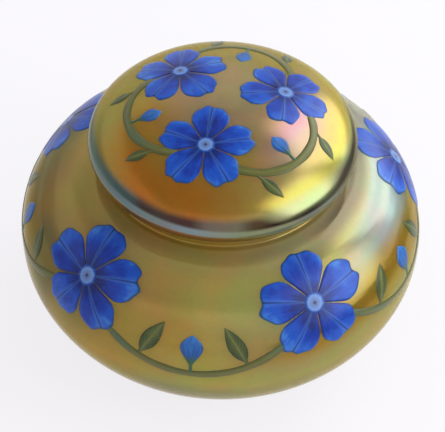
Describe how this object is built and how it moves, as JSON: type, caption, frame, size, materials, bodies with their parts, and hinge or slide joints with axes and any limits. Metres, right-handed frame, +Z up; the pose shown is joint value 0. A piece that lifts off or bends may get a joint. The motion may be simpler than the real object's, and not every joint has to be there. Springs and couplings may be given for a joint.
{
  "type": "covered glass bowl",
  "caption": "Squat round bowl of gold lustre blown glass with a domed lift-off lid, decorated with garlands of blue blossoms and green vines; holds small dry things.",
  "frame": {"origin": "centre of the foot's underside, in the plane of the table", "axes": "+Z up along the turning axis of the bowl and lid; -Y towards the viewer of the picture; +X to the viewer's right"},
  "size_m": [0.2005, 0.201, 0.1421],
  "materials": {
    "bowl_lustre": "opaque olive gold lustre, glossy",
    "lid_lustre": "opaque amber gold lustre, glossy",
    "blossom_blue": "opaque cobalt blue, glossy",
    "eye_pale_blue": "opaque pale blue, glossy",
    "bud_blue": "opaque deep blue, glossy",
    "leaf_green": "opaque leaf green, glossy",
    "vine_green": "opaque olive green, glossy"
  },
  "bodies": {
    "bowl": {"bowl_body": "bowl_lustre", "bowl_blossom_1": "blossom_blue", "bowl_eye_1": "eye_pale_blue", "bowl_vine_1": "vine_green", "bowl_bud_1": "bud_blue", "bowl_blossom_2": "blossom_blue", "bowl_eye_2": "eye_pale_blue", "bowl_vine_2": "vine_green", "bowl_bud_2": "bud_blue", "bowl_blossom_3": "blossom_blue", "bowl_eye_3": "eye_pale_blue", "bowl_vine_3": "vine_green", "bowl_bud_3": "bud_blue", "bowl_blossom_4": "blossom_blue", "bowl_eye_4": "eye_pale_blue", "bowl_vine_4": "vine_green", "bowl_bud_4": "bud_blue", "bowl_blossom_5": "blossom_blue", "bowl_eye_5": "eye_pale_blue", "bowl_vine_5": "vine_green", "bowl_bud_5": "bud_blue", "bowl_leaf_1a": "leaf_green", "bowl_leaf_1b": "leaf_green", "bowl_leaf_2a": "leaf_green", "bowl_leaf_2b": "leaf_green", "bowl_leaf_3a": "leaf_green", "bowl_leaf_3b": "leaf_green", "bowl_leaf_4a": "leaf_green", "bowl_leaf_4b": "leaf_green", "bowl_leaf_5a": "leaf_green", "bowl_leaf_5b": "leaf_green"},
    "lid": {"lid_dome": "lid_lustre", "lid_blossom_1": "blossom_blue", "lid_eye_1": "eye_pale_blue", "lid_vine_1": "vine_green", "lid_bud_1": "bud_blue", "lid_blossom_2": "blossom_blue", "lid_eye_2": "eye_pale_blue", "lid_vine_2": "vine_green", "lid_bud_2": "bud_blue", "lid_blossom_3": "blossom_blue", "lid_eye_3": "eye_pale_blue", "lid_vine_3": "vine_green", "lid_bud_3": "bud_blue", "lid_leaf_1a": "leaf_green", "lid_leaf_1b": "leaf_green", "lid_leaf_2a": "leaf_green", "lid_leaf_2b": "leaf_green", "lid_leaf_3a": "leaf_green", "lid_leaf_3b": "leaf_green"}
  },
  "joints": [
    {"name": "lid_lift", "type": "slide", "parent": "bowl", "child": "lid", "axis": [0, 0, 1], "range_m": [0, 0.12]}
  ]
}
